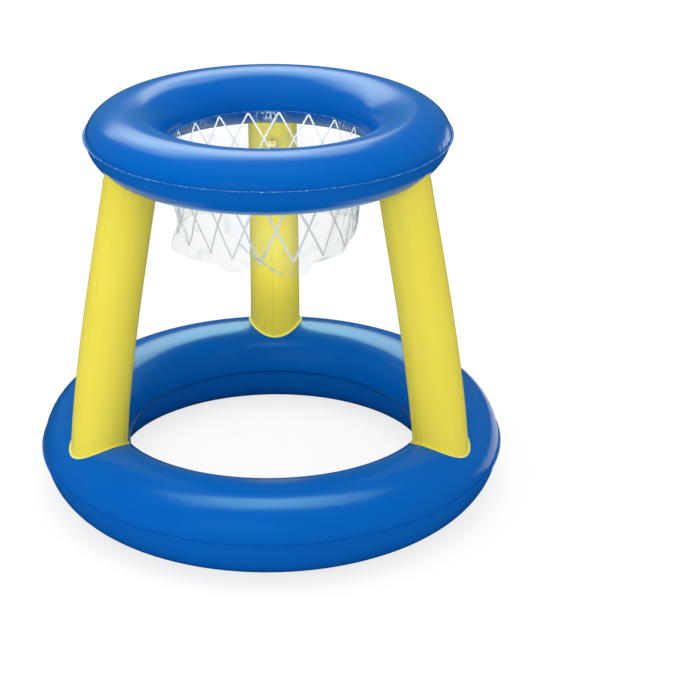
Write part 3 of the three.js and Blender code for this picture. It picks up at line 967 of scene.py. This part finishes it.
# Materials.
class Nodes:
    """A tree of nodes, with short ways to add and join them."""

    def __init__(self, tree):
        self.tree = tree

    def node(self, kind, inputs, **settings):
        """Adds a node. An input is a value or another node's output."""
        node = self.tree.nodes.new(f"ShaderNode{kind}")
        for key, value in settings.items():
            setattr(node, key, value)
        self.feed(node, inputs)
        return node

    def add(self, kind, inputs, output, **settings):
        return self.node(kind, inputs, **settings).outputs[output]

    def feed(self, node, inputs):
        for key, value in inputs.items():
            if isinstance(value, bpy.types.NodeSocket):
                self.tree.links.new(value, node.inputs[key])
            else:
                node.inputs[key].default_value = value

    def split(self, vector):
        return self.node("SeparateXYZ", {"Vector": vector}).outputs

    def join(self, x, y, z=0.0):
        return self.add("CombineXYZ", {"X": x, "Y": y, "Z": z}, "Vector")

    def rays(self):
        """Shares of the rays that are gloss, and that the camera sees straight or through film."""
        path = self.node("LightPath", {}).outputs
        seen = self.sum("MAXIMUM", path["Is Camera Ray"], path["Is Transmission Ray"])
        return path["Is Glossy Ray"], seen

    def position(self):
        return self.add("NewGeometry", {}, "Position")

    def attribute(self, name):
        return self.add("Attribute", {}, "Fac", attribute_name=name)

    def noise(self, vector, scale, detail=2.0, **settings):
        inputs = {"Vector": vector, "Scale": scale, "Detail": detail}
        return self.add("TexNoise", inputs, "Fac", **settings)

    def sum(self, operation, a, b=0.0):
        return self.add("Math", {0: a, 1: b}, "Value", operation=operation)

    def ranged(self, value, low, high, to_low, to_high):
        spread = {"Value": value, "From Min": low, "From Max": high, "To Min": to_low, "To Max": to_high}
        return self.add("MapRange", spread, "Result")

    def mix(self, share, a, b):
        """Two numbers mixed."""
        return self.add("Mix", {"Factor": share, "A": a, "B": b}, "Result")

    def blend(self, share, a, b):
        """Two colours mixed, each an output or written as (red, green, blue)."""
        a, b = [(*c, 1) if isinstance(c, tuple) else c for c in (a, b)]
        return self.add("Mix", {"Factor": share, "A": a, "B": b}, "Result", data_type="RGBA")

    def bump(self, height, strength, distance, normal=None):
        inputs = {"Height": height, "Strength": strength, "Distance": distance}
        if normal:
            inputs["Normal"] = normal
        return self.add("Bump", inputs, "Normal")


class Paint(Nodes):
    """One material's nodes."""

    def __init__(self, name):
        self.material = bpy.data.materials.new(name)
        self.material.use_nodes = True
        super().__init__(self.material.node_tree)
        self.shader = self.tree.nodes["Principled BSDF"]


@dataclass
class Vinyl:
    """Colours of a vinyl and of its welds, how little of the weld is ever pale, and its seam. The pale
    weld colour is partly the welded vinyl's own whitening and partly painted highlight.
    """

    colour: tuple
    shade: tuple
    weld_colour: tuple
    weld_least: float
    roughness: float
    seam: float = 0.0


def vinyl_colour(paint, vinyl, clouds, weld):
    """Faint clouds of two colours, pale specks in the welds that are partly painted highlight, dark welds
    painted as shade in their gap, and the seam's darker line, a painted shadow along the lap's edge.
    """
    body = paint.blend(paint.ranged(clouds, 0.35, 0.75, 0, 1), vinyl.colour, vinyl.shade)
    # Pale specks in the welds: partly the vinyl's own whitening, partly painted highlight where the
    # margins' edges catch light.
    specks = paint.ranged(paint.noise(paint.position(), 420.0, 3.0), 0.54, 0.66, vinyl.weld_least, 1.0)
    pale = paint.sum("MULTIPLY", paint.sum("MAXIMUM", weld, 0.0), specks)
    edged = paint.blend(pale, body, vinyl.weld_colour)
    # Welds written below zero are painted dark: painted shade in the gap between the welded margins.
    weld_shade = tuple(0.3 * part for part in vinyl.shade)
    edged = paint.blend(paint.ranged(weld, 0, -1, 0, 1), edged, weld_shade)
    if not vinyl.seam:
        return edged
    # The seam's darker line along the lap's sharp edge is painted shadow.
    apart = paint.sum("ABSOLUTE", paint.sum("SUBTRACT", paint.attribute("around"), vinyl.seam))
    return paint.blend(paint.ranged(apart, 0.006, 0.024, 0.38, 0), edged, SEAM_SHADOW_COLOUR)


def vinyl_material(name, vinyl, streaks):
    """Glossy vinyl with fine grain, long soft streaks, and welds that are knurled."""
    paint = Paint(name)
    place = paint.position()
    weld = paint.attribute("weld")
    clouds = paint.noise(place, 9.0, 3.0)
    grain = paint.bump(paint.noise(place, 900.0), 0.05, 0.0002)
    knurl = paint.bump(paint.sum("MULTIPLY", weld, paint.noise(place, 500.0)), 0.8, 0.0006, grain)
    paint.feed(paint.shader, {
        "Base Color": vinyl_colour(paint, vinyl, clouds, weld),
        "Roughness": paint.ranged(clouds, 0, 1, vinyl.roughness * 0.86, vinyl.roughness * 1.16),
        "Specular IOR Level": 0.3,
        "Specular Tint": (0.42, 0.95, 1.0, 1),
        "Normal": paint.bump(streaks(paint, place), 0.25, 0.0012, knurl),
    })
    return paint.material


def ring_streaks(paint, place):
    """Noise drawn out round the hoop's axis, without a join."""
    split = paint.split(place)
    flat = paint.join(split["X"], split["Y"])
    radius = paint.add("VectorMath", {0: flat}, "Value", operation="LENGTH")
    turned = paint.split(paint.add("VectorMath", {0: flat}, "Vector", operation="NORMALIZE"))
    vector = paint.join(
        paint.sum("MULTIPLY", radius, 90.0),
        paint.sum("MULTIPLY", split["Z"], 90.0),
        paint.sum("MULTIPLY", turned["X"], 1.2),
    )
    inputs = {"Vector": vector, "W": paint.sum("MULTIPLY", turned["Y"], 1.2), "Scale": 1.0, "Detail": 2.0}
    return paint.add("TexNoise", inputs, "Fac", noise_dimensions="4D")


def leg_streaks(paint, place):
    """Noise drawn out along the leg."""
    around = paint.attribute("around")
    return paint.noise(paint.join(
        paint.sum("MULTIPLY", paint.sum("COSINE", around), 5.0),
        paint.sum("MULTIPLY", paint.sum("SINE", around), 5.0),
        paint.sum("MULTIPLY", paint.split(place)["Z"], 3.0),
    ), 1.0)


def film_material():
    """Clear film: nearly unseen face on, whiter where it turns away, is gathered or ends; in the gathers
    and along the crease the white is partly painted glints.
    """
    paint = Paint("clear_film")
    place = paint.position()
    haze_and_glint = paint.attribute("haze_and_glint")
    facing = paint.add("LayerWeight", {"Blend": 0.5}, "Facing")
    turned = paint.ranged(paint.sum("POWER", facing, 3.0), 0, 1, FILM_ALPHA, FILM_EDGE_ALPHA)
    milk = paint.ranged(paint.noise(place, 30.0, 4.0), 0, 1, 0.75, 1.25)
    # Where the haze attribute is high the film is painted whiter and denser, partly as painted glints.
    alpha = paint.sum("ADD", paint.sum("MULTIPLY", turned, milk), paint.sum("MULTIPLY", haze_and_glint, 0.8))
    paint.feed(paint.shader, {
        "Base Color": paint.blend(haze_and_glint, (0.27, 0.46, 0.62), (0.93, 0.96, 0.98)),
        "Alpha": alpha,
        "Roughness": 0.12,
        "Specular IOR Level": 0.6,
        "Normal": paint.bump(paint.noise(place, 260.0, 3.0), 0.15, 0.0004),
    })
    return paint.material


def ink_material():
    paint = Paint("white_ink")
    patches = paint.noise(paint.position(), 260.0, 3.0)
    paint.feed(paint.shader, {
        "Base Color": paint.blend(patches, (0.80, 0.85, 0.86), (0.90, 0.94, 0.94)),
        "Roughness": 0.45,
    })
    return paint.material


def valve_material(name, alpha, edge):
    """Clear moulded vinyl, a little milky, and denser where it is seen edge on."""
    paint = Paint(name)
    place = paint.position()
    facing = paint.add("LayerWeight", {"Blend": 0.4}, "Facing")
    milk = paint.noise(place, 220.0, 3.0)
    density = paint.ranged(facing, 0, 1, alpha, edge)
    paint.feed(paint.shader, {
        "Base Color": paint.blend(milk, (0.86, 0.92, 0.94), (0.94, 0.97, 0.98)),
        "Alpha": paint.sum("MULTIPLY", density, paint.ranged(milk, 0, 1, 0.85, 1.15)),
        "Roughness": paint.ranged(milk, 0, 1, 0.18, 0.34),
        "Normal": paint.bump(paint.noise(place, 700.0), 0.15, 0.0002),
    })
    return paint.material


def dress(piece, material, body, slot, *nodes):
    piece.data.materials.clear()
    piece.data.materials.append(material)
    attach(piece, body)
    if nodes:
        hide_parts(*nodes)


blue = vinyl_material("blue_vinyl", Vinyl(
    colour=(0.0, 0.127, 0.535),
    shade=(0.0, 0.116, 0.505),
    weld_colour=(0.24, 0.56, 0.88),
    weld_least=0.1,
    roughness=0.2,
), ring_streaks)
yellow = vinyl_material("yellow_vinyl", Vinyl(
    colour=(0.92, 0.80, 0.085),
    shade=(0.90, 0.765, 0.07),
    weld_colour=(0.88, 0.90, 0.24),
    weld_least=0.8,
    roughness=0.36,
    seam=SEAM_TURN,
), leg_streaks)
film = film_material()
ink = ink_material()
valve_clear = valve_material("valve_clear", 0.12, 0.42)
flange_clear = valve_material("flange_clear", 0.03, 0.16)


def make_rings():
    for name, ring in (("base_ring", base_ring), ("hoop_ring", hoop_ring)):
        for side, word in ((1, "upper"), (-1, "lower")):
            skin = ring_skin(f"{name}_{word}_vinyl", ring, side)
            dress(skin, blue, BODY, BLUE, f"{name}_{word}_skin")


def make_legs():
    for seed, (name, azimuth) in enumerate(LEG_AZIMUTHS.items()):
        tube = leg_tube(f"{name}_vinyl", azimuth, seed * LEG_SEED_STEP)
        dress(tube, yellow, BODY, YELLOW, f"{name}_tube")


def drill_skin(skin, place):
    """The hole that a stem passes through."""
    radius, reach = STEM / 2 + PLAY, STEM_LENGTH
    drill = lathe("drill", [(0, -reach), (radius, -reach), (radius, 0), (0, 0)])
    drill.data.transform(place)
    combine(skin, drill, "DIFFERENCE")


def make_valves():
    moulds = {
        "stem": valve_stem("stem"),
        "stopper": valve_stopper("stopper"),
        "flap": valve_flap("flap"),
    }
    for name, skin_name in VALVE_SKINS.items():
        place = valve_matrix(name)
        skin = bpy.data.objects[skin_name]
        low = LEG_FLANGE_LOW if name in LEG_AZIMUTHS else RING_FLANGE_LOW
        flange = flange_disc(f"{name}_flange_vinyl", skin, place, low)
        dress(flange, flange_clear, BODY, VALVE_SLOT, f"{name}_valve_flange")
        drill_skin(skin, place)
        for kind, mould in moulds.items():
            piece = bpy.data.objects.new(f"{name}_{kind}_clear", mould.data.copy())
            bpy.context.scene.collection.objects.link(piece)
            piece.data.transform(place)
            dress(piece, valve_clear, f"{name}_{kind}", VALVE_SLOT, f"{name}_valve_{kind}")
    for mould in moulds.values():
        bpy.data.objects.remove(mould)


def make_skirt():
    skirt = film_skirt()
    dress(skirt, film, BODY, FILM, "net_skirt")
    lines = net_print()
    dress(lines, ink, BODY, FILM)


# Camera at the photograph's viewing angle, turned so that the back leg stands towards +Y.
FOCAL_PIXELS = 1790.1
FRAME_PIXELS = 700
SENSOR = 36.0
CAMERA_DISTANCE = 2.3507
CAMERA_ELEVATION = math.radians(24.56)
CAMERA_TURN = math.radians(-1.3)
CAMERA_ROLL = math.radians(0.43)
LOOK_AT = Vector((0.10303, 0.0, 0.17836))


def make_camera():
    forward = Vector((0, math.cos(CAMERA_ELEVATION), -math.sin(CAMERA_ELEVATION)))
    level_right = Vector((1, 0, 0))
    level_up = level_right.cross(forward)
    right = level_right * math.cos(CAMERA_ROLL) + level_up * math.sin(CAMERA_ROLL)
    up = right.cross(forward)
    place = Matrix((right, up, -forward)).transposed().to_4x4()
    place.translation = LOOK_AT - forward * CAMERA_DISTANCE
    data = bpy.data.cameras.new("camera")
    data.sensor_width = SENSOR
    data.lens = FOCAL_PIXELS / FRAME_PIXELS * SENSOR
    camera = bpy.data.objects.new("camera", data)
    camera.matrix_world = Matrix.Rotation(CAMERA_TURN, 4, "Z") @ place
    bpy.context.scene.collection.objects.link(camera)
    bpy.context.scene.camera = camera


# Lamps, each seen only by gloss or only by dull surfaces, and only by the pieces that it names.
HOOP = ("hoop_ring_upper_vinyl", "hoop_ring_lower_vinyl")
BASE = ("base_ring_upper_vinyl", "base_ring_lower_vinyl")
LEGS = tuple(f"{name}_vinyl" for name in LEG_AZIMUTHS)
BACK_LEG = ("leg_back_vinyl", "leg_back_flange_vinyl", "leg_back_stem_clear", "leg_back_stopper_clear",
            "leg_back_flap_clear")
SOFTBOX_COLOUR = (0.95, 0.97, 0.78)
SOFTBOX_PLACE = (-0.5, 1.75, 2.25)


@dataclass
class Lamp:
    """A soft box that faces the target. Power is in watts, spread in degrees."""

    name: str
    place: tuple
    size: tuple
    power: float
    pieces: tuple = ()
    target: tuple = (0, 0, 0.3)
    colour: tuple = (1, 1, 1)
    spread: float = 180
    gloss: bool = True


LAMPS = [
    Lamp("back_softbox", SOFTBOX_PLACE, (1.4, 1.0), 26, (*HOOP, *LEGS, "film_skirt", "net_print"),
         colour=SOFTBOX_COLOUR),
    Lamp("back_softbox_wide", SOFTBOX_PLACE, (2.3, 1.85), 46, (*HOOP, *LEGS, "film_skirt", "net_print"),
         colour=SOFTBOX_COLOUR),
    Lamp("base_band_lamp", (-0.16, -0.43, 0.74), (1.7, 0.34), 4.0, BASE[:1], (-0.16, -0.33, 0.1),
         (1.0, 0.82, 0.4), spread=80),
    Lamp("base_rear_lamp", (0.03, 0.37, 0.30), (0.84, 0.28), 5.8, BASE[:1], (0.03, 0.369, 0.0),
         (0.95, 0.96, 0.70), spread=120),
    Lamp("hoop_strip_lamp", (1.0, 1.0, 0.25), (0.5, 0.5), 1.2, HOOP, (0.3, 0, 0.1)),
    Lamp("base_side_lamp", (0.43, 0.22, 0.01), (0.3, 0.5), 0.4, BASE, (0.43, 0.22, 1)),
    Lamp("front_key", (-0.8, -2.6, 0.95), (1.8, 1.5), 15, gloss=False),
    Lamp("top_soft", (-0.2, -0.1, 2.6), (2.2, 2.0), 22, gloss=False),
    Lamp("back_leg_lamp", (0, -0.02, 0.375), (0.16, 0.06), 0.24, BACK_LEG, (0, 0.2, 0.31), gloss=False),
    Lamp("through_film_lamp", (0, -0.02, 0.25), (0.16, 0.05), 0.013, BACK_LEG[:1], (0, 0.2, 0.235),
         spread=44, gloss=False),
    Lamp("hem_lamp", (0, -0.05, 0.62), (0.3, 0.1), 0.36, ("net_print", "film_skirt"), (0, 0.12, 0.43),
         gloss=False),
    Lamp("hoop_rim_lamp", (0, 0.225, 0.135), (0.62, 0.55), 0.85, HOOP[1:], (0, 0.225, 1.0),
         (0.85, 1.0, 0.6)),
    Lamp("film_glint_lamp", (-0.3, -1.3, 2.0), (0.8, 0.5), 26, ("film_skirt",)),
]


def add_lamp(name, data, place, pieces):
    """Puts a lamp in the scene, hidden from the camera. With no pieces named it lights all."""
    lamp = bpy.data.objects.new(name, data)
    lamp.location = place
    lamp.visible_camera = False
    bpy.context.scene.collection.objects.link(lamp)
    if pieces:
        receivers = bpy.data.collections.new(f"{name}_receivers")
        for piece in pieces:
            receivers.objects.link(bpy.data.objects[piece])
        lamp.light_linking.receiver_collection = receivers
    return lamp


def make_lamps():
    for row in LAMPS:
        data = bpy.data.lights.new(row.name, "AREA")
        data.shape = "RECTANGLE"
        data.size, data.size_y = row.size
        data.energy = row.power
        data.color = row.colour
        data.spread = math.radians(row.spread)
        lamp = add_lamp(row.name, data, row.place, row.pieces)
        way = Vector(row.target) - Vector(row.place)
        lamp.rotation_euler = way.to_track_quat("-Z", "Y").to_euler()
        lamp.visible_diffuse = not row.gloss
        lamp.visible_glossy = row.gloss


def make_inside_lamps():
    """A small lamp in each air chamber, for the light that its thin vinyl lets in."""
    for name, skin in VALVE_SKINS.items():
        data = bpy.data.lights.new(f"{name}_inside", "POINT")
        data.energy = INSIDE_POWER
        data.shadow_soft_size = INSIDE_SIZE
        place = valve_matrix(name) @ Vector((0, 0, -INSIDE_DEPTH))
        lamp = add_lamp(f"{name}_inside", data, place, (skin,))
        lamp.visible_glossy = False


def make_world():
    """White to the camera and through film; to the object a soft dome, dim and blue-green in gloss."""
    world = bpy.data.worlds.new("studio")
    bpy.context.scene.world = world
    world.use_nodes = True
    world.cycles.sampling_method = "NONE"
    sky = Nodes(world.node_tree)
    gloss, seen = sky.rays()
    way = sky.split(sky.add("TexCoord", {}, "Generated"))
    in_gloss = sky.ranged(way["Y"], *GLOSS_SPAN, GLOSS_FRONT, GLOSS_BACK)
    sky.feed(sky.tree.nodes["Background"], {
        "Strength": sky.mix(seen, sky.mix(gloss, DOME, in_gloss), 1.0),
        "Color": sky.blend(gloss, (1, 1, 1), GLOSS_COLOUR),
    })


def make_floor():
    """A pale floor: white to the camera where nothing shades it, and it keeps the object's shadow. Close
    to the object its glow is dimmed by ambient occlusion, a painted contact shadow.
    """
    bpy.ops.mesh.primitive_plane_add(size=FLOOR_SIZE, location=(0, 0, 0))
    floor = bpy.context.object
    floor.name = "floor"
    paint = Paint("floor_white")
    gloss, seen = paint.rays()
    pale = paint.blend(seen, (FLOOR_COLOUR,) * 3, (FLOOR_SEEN,) * 3)
    away = paint.add("VectorMath", {0: paint.position()}, "Value", operation="LENGTH")
    glow = paint.sum("ADD", paint.ranged(away, *FLOOR_FAR, 0.0, FLOOR_GLOW_FAR), FLOOR_GLOW)
    # Painted contact shadow: the glow is dimmed where ambient occlusion finds the object near.
    open_air = paint.add("AmbientOcclusion", {"Distance": FLOOR_CONTACT_REACH}, "AO")
    glow = paint.sum("MULTIPLY", glow, paint.ranged(open_air, 0, 1, FLOOR_CONTACT_SHADE, 1))
    paint.feed(paint.shader, {
        "Base Color": paint.blend(gloss, pale, FLOOR_IN_GLOSS),
        "Emission Color": (1, 1, 1, 1),
        "Emission Strength": paint.sum("MULTIPLY", seen, glow),
        "Roughness": 0.9,
        "Specular IOR Level": 0.0,
    })
    floor.data.materials.append(paint.material)


make_rings()
make_legs()
make_valves()
make_skirt()
make_camera()
make_world()
make_floor()
make_lamps()
make_inside_lamps()

bpy.context.scene.view_settings.view_transform = "Standard"
